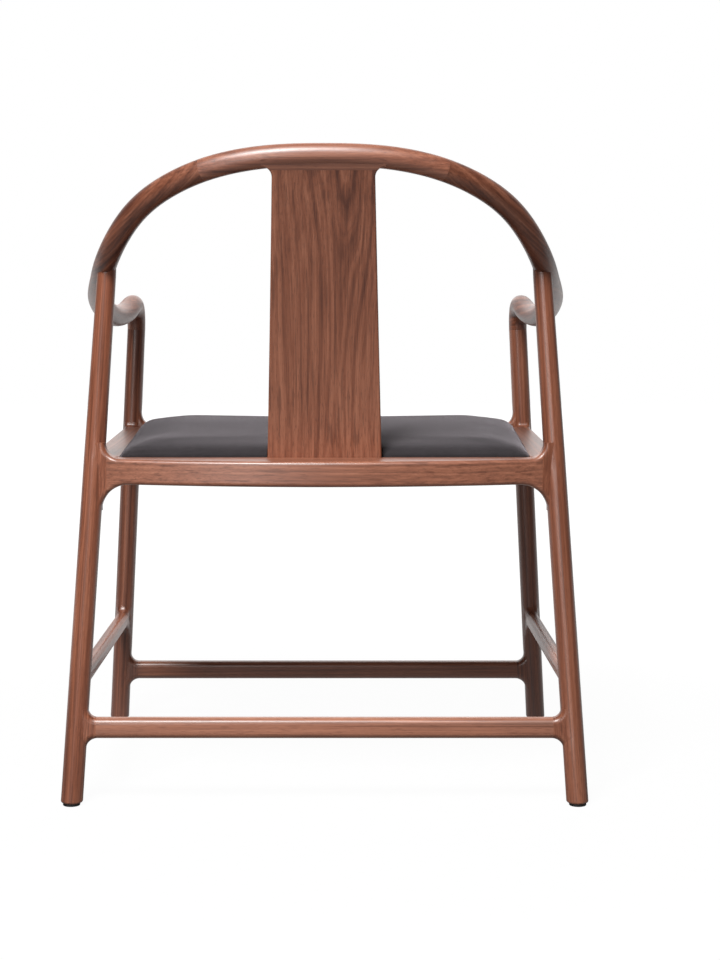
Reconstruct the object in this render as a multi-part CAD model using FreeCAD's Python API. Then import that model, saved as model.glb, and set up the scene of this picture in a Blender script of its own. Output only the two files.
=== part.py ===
import FreeCAD, Part
import math
import os

# Horseshoe chair with a padded seat, in millimetres.
# +Z is up, the chair's back faces +Y and the sitter's left is +X.
# Heights are taken from the floor. Depths are first taken from the rear feet,
# and the whole chair is centred over its base at the end.

Vector = FreeCAD.Vector

# Rear legs: straight round tapers that lean in and forward to meet the rail a little inside its axis
rear_foot_x = 308.6
rear_foot_radius = 13.4
rear_seat_radius = 12.9
rear_head_radius = 11.4
rear_head_inset = 2.5

# Front legs: straight round tapers that run on above the seat as arm posts
front_foot_x = 302.0
front_foot_y = -464.0
front_foot_radius = 13.3
front_seat_radius = 13.0
front_head_x = 268.8
front_head_y = -437.5
front_head_height = 566.0
front_head_radius = 12.4
foot_rounding = 2.5

# Horseshoe rail behind the rear legs: a leaning superellipse
crest_height = 780.3
crest_y = 68.0
crest_radius = 13.0
crest_squareness = 2.48
crest_half_width = 283.0
crest_front_y = -160.0
rear_joint_inset = 17.0
rear_joint_x = crest_half_width - rear_joint_inset
rear_joint_height = 655.2
back_seam_x = 140.0
shoulder_radius = 14.0

# Arms: their first points lie outside the crest's half width and ahead of the rear joint,
# each after a share of the fall to the dip, and the others stand off the front post's head
arm_radius = 14.5
arm_end_radius = 13.6
arm_start_out = -8.2
arm_start_ahead = 36.9
arm_start_fall_share = 0.239
arm_flank_out = 2.0
arm_flank_ahead = 91.9
arm_flank_fall_share = 0.4756
arm_widest_out = 9.0
arm_widest_ahead = 163.9
arm_widest_fall_share = 0.712
arm_dip_out = 14.2
arm_dip_behind = 105.5
arm_dip_above = 21.5
arm_lift_out = 4.7
arm_lift_behind = 57.5
arm_lift_above = 28.5
arm_end_out = 1.2
arm_end_behind = 30.5
arm_end_above = 34.5
elbow_behind = 9.0
elbow_above = 26.0

# Joints of the rail: stub tenons on the legs and pairs of dowels in the seams
leg_tenon_radius = 7.0
rear_tenon_past_axis = 5.0
front_tenon_length = 14.0
dowel_radius = 4.0
dowel_length = 32.0
dowel_offset = 5.5

# Seat frame
rail_top = 422.0
seat_rise = 7.0
rail_height = 31.0
rail_upper_fillet = 18.0
side_upper_fillet = 6.0
rail_lower_fillet = 36.0
rail_edge = 5.0
rail_outer = 9.0
rail_inner = 10.0
rear_rail_bow = 42.0
rear_ledge = 19.0
side_ledge = 33.0
front_ledge = 18.0
rail_seam = 4.0
rail_tenon_height = 20.0
rail_tenon_width = 8.0
rail_tenon_length = 11.4

# Stretchers
stretcher_height = 25.0
stretcher_width = 20.0
side_stretcher_height = 20.0
side_stretcher_width = 18.0
rear_stretcher_z = 94.5
front_stretcher_z = 74.0
side_stretcher_z = 151.0
stretcher_upper_fillet = 11.0
stretcher_lower_fillet = 15.0
stretcher_edge = 7.5
stretcher_seam = 11.0
stretcher_tenon_height = 14.0
stretcher_tenon_width = 9.0
stretcher_tenon_length = 20.0
blend_inset = 0.6

# Back splat
splat_bottom_width = 139.0
splat_top_width = 118.5
splat_thickness = 14.0
splat_foot_inset = 6.9
splat_bend = 8.0
splat_edge = 2.0
splat_tenon_thickness = 9.0
splat_tenon_shoulder = 10.0
splat_top_tenon = 11.0
splat_bottom_tenon = 18.0
splat_head_ahead = 4.0
splat_flare_radius = 12.0
splat_flare_drop = 7.8
crest_pad_drop = 5.0
crest_pad_sink = 0.9

# Padded seat: plywood panel, foam, fabric cover and dust cover
panel_thickness = 12.0
panel_rear_inset = 6.9
panel_front_inset = 3.9
panel_rear_side_inset = 30.5
panel_front_side_inset = 15.8
panel_rear_corner = 10.0
panel_front_corner = 26.0
pad_height = 21.0
pad_base_draw = 0.2
pad_side_draw = 3.0
pad_profile = ((0, 0), (0.8, 0.25), (4, 0.48), (12, 0.69), (28, 0.86), (55, 0.96), (95, 1))
pad_corner_growth = 0.35
cover_thickness = 1.2
hem_width = 38.0
dust_cover_thickness = 0.6
dust_cover_margin = 30.0
seat_gap = 0.6
splat_gap = 2.0

# Staples that hold the hem
staple_crown = 10.0
staple_wire = 0.8
staple_leg = 8.0
staple_pitch = 60.0
staple_inset = 34.0

# Corner blocks and their screws
block_leg = 52.0
block_height = 13.0
block_drop = 3.0
screw_radius = 2.0
screw_head_radius = 4.0
screw_head_height = 2.5
screw_bite = 10.0
block_screw_offset = 32.0
block_screw_wood = 9.0
panel_screw_offset = 13.0

# Foot glides
glide_radius = 10.5
glide_height = 3.5
glide_edge = 1.0
nail_radius = 1.3
nail_length = 18.0
nail_head_radius = 4.0
nail_head_height = 1.2

# Fits, how close two edges count as level, and how far a cutting tool runs on
joint_gap = 0.15
tenon_end_gap = 1.0
hair = 0.01
tool_reach = 1000.0


class Leg:
    """A straight round leg with its own taper below and above the seat."""

    def __init__(self, foot, head, foot_radius, seat_radius, head_radius):
        self.foot = foot
        self.head = head
        self.heights = (foot.z, rail_top, head.z)
        self.radii = (foot_radius, seat_radius, head_radius)

    def at(self, height):
        share = (height - self.foot.z) / (self.head.z - self.foot.z)
        return self.foot + (self.head - self.foot) * share

    def radius(self, height):
        low, middle, high = self.heights
        below, at_seat, above = self.radii
        if height <= middle:
            return below + (at_seat - below) * (height - low) / (middle - low)
        return at_seat + (above - at_seat) * (height - middle) / (high - middle)

    def axis(self):
        run = self.head - self.foot
        return run.normalize()

    def slope(self, direction):
        run = self.head - self.foot
        return run.dot(direction) / run.z

    def mirrored(self):
        return Leg(across(self.foot), across(self.head), *self.radii)

    def solid(self):
        seat = self.at(rail_top)
        below = Part.makeCone(self.radii[0], self.radii[1], (seat - self.foot).Length,
                              self.foot, self.axis())
        above = Part.makeCone(self.radii[1], self.radii[2], (self.head - seat).Length,
                              seat, self.axis())
        return below.fuse(above)


def across(point):
    """The matching point on the chair's other side."""
    return Vector(-point.x, point.y, point.z)


def mirror(shape):
    return shape.mirror(Vector(0, 0, 0), Vector(1, 0, 0))


def local_frame(origin, along, up):
    """Placement whose X runs along a member, Y up and Z across it."""
    x = Vector(along).normalize()
    z = x.cross(up).normalize()
    y = z.cross(x)
    return FreeCAD.Placement(FreeCAD.Matrix(x.x, y.x, z.x, origin.x,
                                            x.y, y.y, z.y, origin.y,
                                            x.z, y.z, z.z, origin.z,
                                            0, 0, 0, 1))


def placed(shape, placement):
    moved = shape.copy()
    moved.Placement = placement.multiply(moved.Placement)
    return moved


def box(low, high):
    size = Vector(*high) - Vector(*low)
    return Part.makeBox(size.x, size.y, size.z, Vector(*low))


def line(a, b):
    return Part.LineSegment(Vector(*a), Vector(*b)).toShape()


def arc(a, b, c):
    return Part.Arc(Vector(*a), Vector(*b), Vector(*c)).toShape()


def corner_arc(corner, first, second, radius):
    """Start, middle and end of the arc that rounds a corner between two directions."""
    first = Vector(*first).normalize()
    second = Vector(*second).normalize()
    half = first.getAngle(second) / 2
    reach = radius / math.tan(half)
    inward = (first + second).normalize()
    centre = Vector(*corner) + inward * (radius / math.sin(half))
    return (Vector(*corner) + first * reach, centre - inward * radius, Vector(*corner) + second * reach)


class Member:
    """A bar between two legs, with the fillets that carry it into each leg."""

    def __init__(self, start_leg, end_leg, start_z, end_z, height, fillets, seam):
        self.start = start_leg.at(start_z)
        self.end = end_leg.at(end_z)
        along = self.end - self.start
        self.length = along.Length
        self.frame = local_frame(self.start, along, Vector(0, 0, 1))
        flat = Vector(along.x, along.y, 0).normalize()
        self.height = height
        self.ends = ((start_leg.radius(start_z) - blend_inset, start_leg.slope(flat)),
                     (end_leg.radius(end_z) - blend_inset, end_leg.slope(flat)))
        self.seams = (start_leg.radius(start_z) + seam, self.length - end_leg.radius(end_z) - seam)
        self.fillets = fillets

    def outline(self):
        """Side view of the bar from leg axis to leg axis."""
        upper, lower = self.fillets
        half = self.height / 2
        (near, near_slope), (far, far_slope) = self.ends
        far_axis = self.length
        a = corner_arc((near + near_slope * half, half, 0), (near_slope, 1, 0), (1, 0, 0), upper)
        b = corner_arc((far_axis - far + far_slope * half, half, 0), (-1, 0, 0), (far_slope, 1, 0), upper)
        c = corner_arc((far_axis - far - far_slope * half, -half, 0), (-far_slope, -1, 0), (-1, 0, 0), lower)
        d = corner_arc((near - near_slope * half, -half, 0), (1, 0, 0), (-near_slope, -1, 0), lower)
        top_near = (near_slope * a[0].y, a[0].y, 0)
        top_far = (far_axis + far_slope * b[2].y, b[2].y, 0)
        low_far = (far_axis + far_slope * c[0].y, c[0].y, 0)
        low_near = (near_slope * d[2].y, d[2].y, 0)
        edges = [line(top_near, a[0]), arc(*a), line(a[2], b[0]), arc(*b), line(b[2], top_far),
                 line(top_far, low_far), line(low_far, c[0]), arc(*c), line(c[2], d[0]), arc(*d),
                 line(d[2], low_near), line(low_near, top_near)]
        return Part.Face(Part.Wire(edges))

    def body(self, low, high):
        face = self.outline()
        face.translate(Vector(0, 0, low))
        return face.extrude(Vector(0, 0, high - low))

    def long_edges(self, solid):
        """Edges that run along the bar between the two legs, on both of its faces."""
        near = self.ends[0][0] / 2
        far = self.length - self.ends[1][0] / 2
        chosen = []
        for edge in solid.Edges:
            xs = [v.X for v in edge.Vertexes]
            tangent = edge.tangentAt(edge.FirstParameter)
            if min(xs) > near and max(xs) < far and abs(tangent.z) < 0.5:
                chosen.append(edge)
        return chosen

    def slab(self, low, high):
        return box((low, -tool_reach, -tool_reach), (high, tool_reach, tool_reach))

    def tenons(self, height, width, length, gap=0.0, end_gap=0.0):
        near, far = self.seams
        half_height = height / 2 + gap
        half_width = width / 2 + gap
        first = box((near - length - end_gap, -half_height, -half_width), (near, half_height, half_width))
        last = box((far, -half_height, -half_width), (far + length + end_gap, half_height, half_width))
        return first, last


def stretcher(start_leg, end_leg, z, height, width):
    """A level stretcher and the stubs and mortises that it needs in its two legs."""
    fillets = (stretcher_upper_fillet, stretcher_lower_fillet)
    member = Member(start_leg, end_leg, z, z, height, fillets, stretcher_seam)
    solid = member.body(-width / 2, width / 2)
    solid = solid.makeFillet(stretcher_edge, member.long_edges(solid))
    sizes = (stretcher_tenon_height, stretcher_tenon_width, stretcher_tenon_length)
    bar = solid.common(member.slab(*member.seams))
    bar = bar.fuse(list(member.tenons(*sizes)))
    return finish_member(member, solid, bar, sizes)


def finish_member(member, solid, bar, tenon_sizes):
    """The bar, its two stubs and its two mortises, set in place between the legs."""
    near, far = member.seams
    stubs = (solid.common(member.slab(-tool_reach, near)), solid.common(member.slab(far, tool_reach)))
    mortises = member.tenons(*tenon_sizes, joint_gap, tenon_end_gap)
    return (placed(bar, member.frame), [placed(stub, member.frame) for stub in stubs],
            [placed(mortise, member.frame) for mortise in mortises])


def bowed_column(member, bow):
    """Upright column whose plan is a rail with a bowed outer face."""
    far = member.length
    plan = Part.Wire([line((0, 0, -rail_inner), (far, 0, -rail_inner)),
                      line((far, 0, -rail_inner), (far, 0, rail_outer)),
                      arc((far, 0, rail_outer), (far / 2, 0, rail_outer + bow), (0, 0, rail_outer)),
                      line((0, 0, rail_outer), (0, 0, -rail_inner))])
    plan.translate(Vector(0, -tool_reach, 0))
    return Part.Face(plan).extrude(Vector(0, 2 * tool_reach, 0))


def seat_rail(start_leg, end_leg, start_z, end_z, upper_fillet, ledge, bow=0.0):
    """A seat rail with its flared ends, a ledge on its inner side and an outer face that may bow."""
    fillets = (upper_fillet, rail_lower_fillet)
    member = Member(start_leg, end_leg, start_z, end_z, rail_height, fillets, rail_seam)
    solid = member.body(-rail_inner, rail_outer + bow)
    if bow > 0:
        solid = solid.common(bowed_column(member, bow))
    solid = solid.makeFillet(rail_edge, member.long_edges(solid))
    sizes = (rail_tenon_height, rail_tenon_width, rail_tenon_length)
    near, far = member.seams
    inner = -rail_inner
    shelf = box((near, -rail_height / 2, inner - ledge), (far, rail_height / 2, inner + rail_edge))
    bar = solid.common(member.slab(near, far)).fuse([shelf] + list(member.tenons(*sizes)))
    return finish_member(member, solid, bar.removeSplitter(), sizes)


def crest_stations():
    """Distances from the chair's middle where the crest's curve is set out."""
    beyond = (rear_joint_x - back_seam_x) / 3
    return [0, back_seam_x / 2, back_seam_x, back_seam_x + beyond, back_seam_x + 2 * beyond]


def rail_points(rear_joint, post):
    """Points and radii of the horseshoe rail's axis, from the back's centre to the left post."""
    points = []
    drop = (crest_height - rear_joint_height) / (crest_y - rear_joint.y)
    for x in crest_stations():
        y = crest_plan_y(x)
        z = crest_height - drop * (crest_y - y)
        radius = crest_radius + (shoulder_radius - crest_radius) * x / rear_joint_x
        points.append((Vector(x, y, z), radius))
    dip = post.head + Vector(arm_dip_out, arm_dip_behind, arm_dip_above)
    fall = rear_joint.z - dip.z

    def beside(out, ahead, share):
        return Vector(crest_half_width + out, rear_joint.y - ahead, rear_joint.z - fall * share)

    points += [(rear_joint, shoulder_radius),
               (beside(arm_start_out, arm_start_ahead, arm_start_fall_share), shoulder_radius),
               (beside(arm_flank_out, arm_flank_ahead, arm_flank_fall_share), shoulder_radius),
               (beside(arm_widest_out, arm_widest_ahead, arm_widest_fall_share), arm_radius),
               (dip, arm_radius),
               (post.head + Vector(arm_lift_out, arm_lift_behind, arm_lift_above), arm_radius),
               (post.head + Vector(arm_end_out, arm_end_behind, arm_end_above), arm_end_radius),
               (post.head + Vector(0, elbow_behind, elbow_above), (arm_end_radius + front_head_radius) / 2),
               (post.head, front_head_radius)]
    return points


def crest_plan_y(x):
    """Depth of the rail's axis at a distance from the chair's middle, on the superellipse."""
    share = 1 - (x / crest_half_width) ** crest_squareness
    return crest_front_y + (crest_y - crest_front_y) * share ** (1 / crest_squareness)


class HorseshoeRail:
    """The whole rail's axis from post to post, with round sections along its left half."""

    steps = 3

    def __init__(self, points, post):
        self.radii = [radius for point, radius in points]
        half = [point for point, radius in points]
        self.post_direction = post.axis() * -1
        half.append(post.at(post.head.z - elbow_above))
        right = [across(point) for point in reversed(half[1:])]
        self.curve = Part.BSplineCurve()
        self.curve.interpolate(Points=right + half)
        self.knots = [self.curve.parameter(point) for point, radius in points]

    def stations(self, first, last):
        """Point, direction and radius at even steps between two of the points."""
        found = []
        for i in range(first, last):
            for step in range(self.steps):
                found.append(self.station(i, step / self.steps))
        found.append(self.station(last - 1, 1.0))
        return found

    def station(self, i, share):
        t = self.knots[i] + (self.knots[i + 1] - self.knots[i]) * share
        radius = self.radii[i] + (self.radii[i + 1] - self.radii[i]) * share
        at_post = i + share == len(self.radii) - 1
        direction = self.post_direction if at_post else self.curve.tangent(t)[0]
        return self.curve.value(t), direction, radius

    def loft(self, stations):
        """Solid through round sections, each turned as little as possible from the last."""
        up = Vector(0, 0, 1)
        sections = []
        for point, direction, radius in stations:
            up = (up - direction * up.dot(direction)).normalize()
            circle = Part.Wire(Part.makeCircle(radius))
            frame = local_frame(point, up, up.cross(direction))
            circle.Placement = frame
            sections.append(circle)
        return Part.makeLoft(sections, True, False)

    def piece(self, first, last):
        return self.loft(self.stations(first, last))

    def middle(self, last):
        left = self.stations(0, last)
        right = [(across(point), across(direction) * -1, radius)
                 for point, direction, radius in reversed(left)]
        return self.loft(right[:-1] + left)

    def seam_dowels(self, index, gap=0.0, end_gap=0.0):
        point, direction, radius = self.station(index, 0.0)
        level = direction.cross(Vector(0, 0, 1)).normalize()
        start = point - direction * (dowel_length / 2 + end_gap)
        return [Part.makeCylinder(dowel_radius + gap, dowel_length + 2 * end_gap,
                                  start + level * side * dowel_offset, direction) for side in (-1, 1)]


class SplatSide:
    """Side view of the splat: a board bent forward over the sitter's lower back."""

    def __init__(self, rear_leg):
        foot = Vector(0, rear_leg.at(rail_top).y - splat_foot_inset, rail_top)
        head = Vector(0, crest_y - splat_head_ahead, crest_pad_z())
        self.foot = foot
        chord = head - foot
        backward = Vector(0, chord.z, -chord.y).normalize()
        self.radius = chord.Length ** 2 / (8 * splat_bend) + splat_bend / 2
        self.centre = (foot + head) / 2 + backward * (self.radius - splat_bend)

    def at(self, z, offset):
        """Point at a height, offset towards the front."""
        reach = self.radius + offset
        return Vector(0, self.centre.y - math.sqrt(reach ** 2 - (z - self.centre.z) ** 2), z)

    def board(self, thickness, low_z, high_z):
        half = thickness / 2
        middle = (low_z + high_z) / 2
        rear = [self.at(z, -half) for z in (low_z, middle, high_z)]
        front = [self.at(z, half) for z in (high_z, middle, low_z)]
        wire = Part.Wire([arc(*rear), line(rear[2], front[0]), arc(*front), line(front[2], rear[0])])
        wire.translate(Vector(-tool_reach, 0, 0))
        return Part.Face(wire).extrude(Vector(2 * tool_reach, 0, 0))


def crest_pad_z():
    return crest_height - crest_radius - crest_pad_drop


def splat_half(z):
    """Half the splat's width at a height, without its flare."""
    share = (z - rail_top) / (crest_pad_z() - rail_top)
    return (splat_bottom_width + (splat_top_width - splat_bottom_width) * share) / 2


def through_depth(edges):
    """Solid of a closed front view, taken through the chair's whole depth."""
    face = Part.Face(Part.Wire(edges))
    face.translate(Vector(0, -tool_reach, 0))
    return face.extrude(Vector(0, 2 * tool_reach, 0))


def splat_tongue(low_z, high_z, shoulder):
    """Front view of a splat tenon between two heights, a shoulder in from each side."""
    low = splat_half(low_z) - shoulder
    high = splat_half(high_z) - shoulder
    corners = [(-low, 0, low_z), (low, 0, low_z), (high, 0, high_z), (-high, 0, high_z)]
    return through_depth([line(corners[i - 1], corners[i]) for i in range(4)])


class SplatFlare:
    """The hollow round that widens the splat's top and runs on into the root under the crest."""

    def __init__(self):
        self.foot = crest_pad_z() - splat_flare_drop
        self.lean = math.atan2(splat_half(rail_top) - splat_half(crest_pad_z()), crest_pad_z() - rail_top)
        self.at_joint = math.asin(splat_flare_drop / splat_flare_radius - math.sin(self.lean))
        self.at_end = math.pi / 2

    def point(self, turn):
        """Point on the left side, by the angle turned about the round's centre."""
        x = splat_half(self.foot) + splat_flare_radius * (math.cos(self.lean) - math.cos(turn))
        return Vector(x, 0, self.foot + splat_flare_radius * (math.sin(self.lean) + math.sin(turn)))

    def arcs(self, start, end):
        """The round's arc on the left, going up, and its match on the right, coming down."""
        points = [self.point(start + (end - start) * share) for share in (0, 0.5, 1)]
        return arc(*points), arc(*[across(point) for point in reversed(points)])


def splat_tenons(side, gap=0.0, end_gap=0.0):
    thickness = splat_tenon_thickness + 2 * gap
    ends = [(rail_top - splat_bottom_tenon - end_gap, rail_top),
            (crest_pad_z(), crest_pad_z() + splat_top_tenon + end_gap)]
    return [side.board(thickness, low, high).common(splat_tongue(low, high, splat_tenon_shoulder - gap))
            for low, high in ends]


def back_splat(side):
    low, high = rail_top, crest_pad_z()
    flare = SplatFlare()
    left, right = flare.arcs(-flare.lean, flare.at_joint)
    foot = Vector(splat_half(low), 0, low)
    top = flare.point(flare.at_joint)
    neck = flare.point(-flare.lean)
    outline = through_depth([line(across(foot), foot), line(foot, neck), left, line(top, across(top)), right,
                             line(across(neck), across(foot))])
    board = side.board(splat_thickness, low, high).common(outline)
    upright = [e for e in board.Edges if e.BoundBox.ZLength > splat_edge]
    return board.makeFillet(splat_edge, upright).fuse(splat_tenons(side))


def touch_point(point, rearward):
    """Where a flank from an edge of the splat's top runs into the crest's round."""
    reach = Vector(0, crest_y, crest_height) - point
    radius = crest_radius - crest_pad_sink
    turn = math.asin(radius / reach.Length) * rearward
    run = math.sqrt(1 - (radius / reach.Length) ** 2)
    return point + Vector(0, reach.y * math.cos(turn) + reach.z * math.sin(turn),
                          reach.z * math.cos(turn) - reach.y * math.sin(turn)) * run


def crest_pad(side):
    """The root under the crest that the splat's top seats against, its flanks drawn out to the crest."""
    low = crest_pad_z()
    rear = side.at(low, -splat_thickness / 2)
    front = side.at(low, splat_thickness / 2)
    corners = [rear, touch_point(rear, 1), Vector(0, crest_y, crest_height), touch_point(front, -1), front]
    flanks = Part.Face(Part.Wire([line(corners[i - 1], corners[i]) for i in range(len(corners))]))
    flanks.translate(Vector(-tool_reach, 0, 0))
    flare = SplatFlare()
    left, right = flare.arcs(flare.at_joint, flare.at_end)
    seat = flare.point(flare.at_joint)
    end = flare.point(flare.at_end)
    top = Vector(end.x, 0, crest_height)
    outline = through_depth([line(across(seat), seat), left, line(end, top), line(top, across(top)),
                             line(across(top), across(end)), right])
    return flanks.extrude(Vector(2 * tool_reach, 0, 0)).common(outline)


class Seat:
    """The padded seat, drawn flat with its panel's top at zero and then tilted with the rails."""

    def __init__(self, rear_leg, front_leg, splat):
        rear = rear_leg.at(rail_top)
        front = front_leg.at(rail_top + seat_rise)
        self.splat = splat
        self.rear_half = rear.x - panel_rear_side_inset
        self.front_half = front.x - panel_front_side_inset
        self.rear_y = rear.y - panel_rear_inset
        self.front_y = front.y + panel_front_inset
        self.pivot = Vector(0, rear.y, 0)
        self.rake = -math.degrees(math.atan(seat_rise / (rear.y - front.y)))
        self.underside = -panel_thickness - cover_thickness

    def placed(self, shape):
        moved = shape.copy()
        moved.rotate(self.pivot, Vector(1, 0, 0), self.rake)
        moved.translate(Vector(0, 0, rail_top))
        return moved

    def outline(self, inset, z, draw=0.0):
        """Rounded seat outline at a height, with sides drawn in between the corners."""
        rear = self.rear_half - inset
        front = self.front_half - inset
        back = self.rear_y - inset
        face = self.front_y + inset
        grow = max(inset, 0) * pad_corner_growth
        corners = [(rear, back, panel_rear_corner + grow), (front, face, panel_front_corner + grow),
                   (-front, face, panel_front_corner + grow), (-rear, back, panel_rear_corner + grow)]
        arcs = []
        for i, (x, y, radius) in enumerate(corners):
            before = Vector(corners[i - 1][0] - x, corners[i - 1][1] - y, 0)
            after = Vector(corners[(i + 1) % 4][0] - x, corners[(i + 1) % 4][1] - y, 0)
            arcs.append(corner_arc((x, y, z), before, after, radius))
        edges = []
        for i, bend in enumerate(arcs):
            following = arcs[(i + 1) % 4]
            edges.append(arc(*bend))
            edges.append(self.side(bend[2], following[0], draw))
        return Part.Wire(edges)

    def side(self, start, end, draw):
        if draw == 0:
            return line(start, end)
        middle = (start + end) / 2
        inward = Vector(0, (self.rear_y + self.front_y) / 2, start.z) - middle
        inward = Vector(inward.x, 0, 0) if abs(inward.x) > abs(inward.y) else Vector(0, inward.y, 0)
        return arc(start, middle + inward.normalize() * draw, end)

    def slab(self, inset, low, high):
        return Part.Face(self.outline(inset, low)).extrude(Vector(0, 0, high - low))

    def crown(self, grow):
        """Crowned pad above the panel, grown outwards by a cover's thickness."""
        sections = []
        for inset, share in pad_profile:
            draw = pad_base_draw + (pad_side_draw - pad_base_draw) * share
            sections.append(self.outline(inset - grow, (pad_height + grow) * share, draw))
        return Part.makeLoft(sections, True, False)

    def notch(self, gap):
        """Space left round the splat's foot."""
        half = splat_bottom_width / 2 + gap
        front = self.splat.foot.y - splat_thickness / 2 - gap
        return box((-half, front, -tool_reach), (half, tool_reach, tool_reach))

    def panel(self):
        return self.slab(0, -panel_thickness, 0).cut(self.notch(splat_gap + cover_thickness))

    def foam(self):
        return self.crown(0).cut(self.notch(splat_gap + cover_thickness))

    def cover(self):
        skirt = self.slab(-cover_thickness, self.underside, 0)
        whole = self.crown(cover_thickness).fuse(skirt).cut(self.notch(splat_gap))
        opening = self.slab(hem_width, self.underside, -panel_thickness)
        return whole.cut([self.foam(), self.panel(), opening])

    def dust_cover(self):
        return self.slab(dust_cover_margin, self.underside - dust_cover_thickness, self.underside)

    def rebate(self):
        """Room for the seat in the rails, leaving the wood that the splat stands on."""
        room = self.slab(-cover_thickness - seat_gap, self.underside, tool_reach)
        return room.cut(self.notch(splat_gap - seat_gap))

    def staples(self):
        """Staples along the four sides, through the dust cover and the hem into the panel."""
        rear = self.rear_half - staple_inset
        front = self.front_half - staple_inset
        back = self.rear_y - staple_inset
        face = self.front_y + staple_inset
        runs = [((-rear, back), (rear, back)), ((rear, back), (front, face)),
                ((front, face), (-front, face)), ((-front, face), (-rear, back))]
        found = []
        for (x0, y0), (x1, y1) in runs:
            start = Vector(x0, y0, self.underside - dust_cover_thickness)
            along = Vector(x1 - x0, y1 - y0, 0)
            count = int(along.Length / staple_pitch)
            for i in range(count):
                centre = start + along * ((i + 0.5) / count)
                found.append(placed(staple(), local_frame(centre, along, Vector(0, 0, 1))))
        return found


def staple():
    half = staple_crown / 2
    wire = staple_wire / 2
    crown = box((-half, -staple_wire, -wire), (half, 0, wire))
    legs = [box((x, 0, -wire), (x + staple_wire, staple_leg, wire)) for x in (-half, half - staple_wire)]
    return crown.fuse(legs).removeSplitter()


def screw(tip, direction, length):
    """Round-head screw given by its tip, with its head at the far end of its shank."""
    direction = Vector(*direction).normalize()
    seat = Vector(*tip) - direction * length
    shank = Part.makeCylinder(screw_radius, length, seat, direction)
    head = Part.makeCylinder(screw_head_radius, screw_head_height, seat - direction * screw_head_height,
                             direction)
    return shank.fuse(head)


class CornerBlock:
    """A glue block in an inner corner of the seat frame, with the screws that hold it."""

    def __init__(self, seat, corner, toward_front):
        self.corner = corner
        self.forward = -1 if toward_front else 1
        self.top = seat.underside - block_drop
        self.middle = self.top - block_height / 2

    def at(self, inward, along, z):
        return Vector(self.corner.x - inward, self.corner.y + self.forward * along, z)

    def solid(self):
        spare = rail_inner
        plan = [(-spare, -spare), (block_leg, -spare), (block_leg, 0), (0, block_leg), (-spare, block_leg)]
        points = [self.at(inward, along, self.top - block_height) for inward, along in plan]
        edges = [line(points[i - 1], points[i]) for i in range(len(points))]
        return Part.Face(Part.Wire(edges)).extrude(Vector(0, 0, block_height))

    def frame_screws(self):
        """One screw into each of the two rails that meet at the corner."""
        length = block_screw_wood + screw_bite
        into_side = screw(self.at(-screw_bite, block_screw_offset, self.middle), (1, 0, 0), length)
        into_end = screw(self.at(block_screw_offset, -screw_bite, self.middle), (0, -self.forward, 0), length)
        return [into_side, into_end]

    def head_pockets(self):
        """Flat-bottomed pockets that let the screw heads into the slanting face."""
        deep = block_leg
        radius = screw_head_radius + joint_gap
        side = Part.makeCylinder(radius, deep, self.at(block_screw_wood, block_screw_offset, self.middle),
                                 Vector(-1, 0, 0))
        end = Part.makeCylinder(radius, deep, self.at(block_screw_offset, block_screw_wood, self.middle),
                                Vector(0, self.forward, 0))
        return [side, end]

    def panel_screw(self):
        tip = self.at(panel_screw_offset, panel_screw_offset, -panel_thickness + screw_bite)
        return screw(tip, (0, 0, 1), tip.z - self.top + block_height)


def glide(leg):
    """Plastic glide under a foot and the nail that holds it."""
    centre = Vector(leg.foot.x, leg.foot.y, 0)
    pad = Part.makeCylinder(glide_radius, glide_height, centre)
    rims = [e for e in pad.Edges if e.Curve.TypeId == "Part::GeomCircle"]
    pad = pad.makeFillet(glide_edge, rims)
    under_head = centre + Vector(0, 0, glide_height / 2)
    head = Part.makeCylinder(nail_head_radius, nail_head_height, under_head - Vector(0, 0, nail_head_height))
    nail = Part.makeCylinder(nail_radius, nail_length, under_head).fuse(head)
    recess = Part.makeCylinder(nail_head_radius + joint_gap, under_head.z, centre)
    return pad.cut([nail, recess]), nail


def leg_body(leg, stubs, mortises, nail):
    """A leg with its branches, cut level above its glide and pierced for its joints."""
    floor = box((-tool_reach, -tool_reach, -tool_reach), (tool_reach, tool_reach, glide_height))
    body = leg.solid().cut(floor)
    rim = [e for e in body.Edges if e.BoundBox.ZMax < glide_height + hair]
    body = body.makeFillet(foot_rounding, rim)
    return body.fuse(stubs).cut(mortises + [nail]).removeSplitter()


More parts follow.
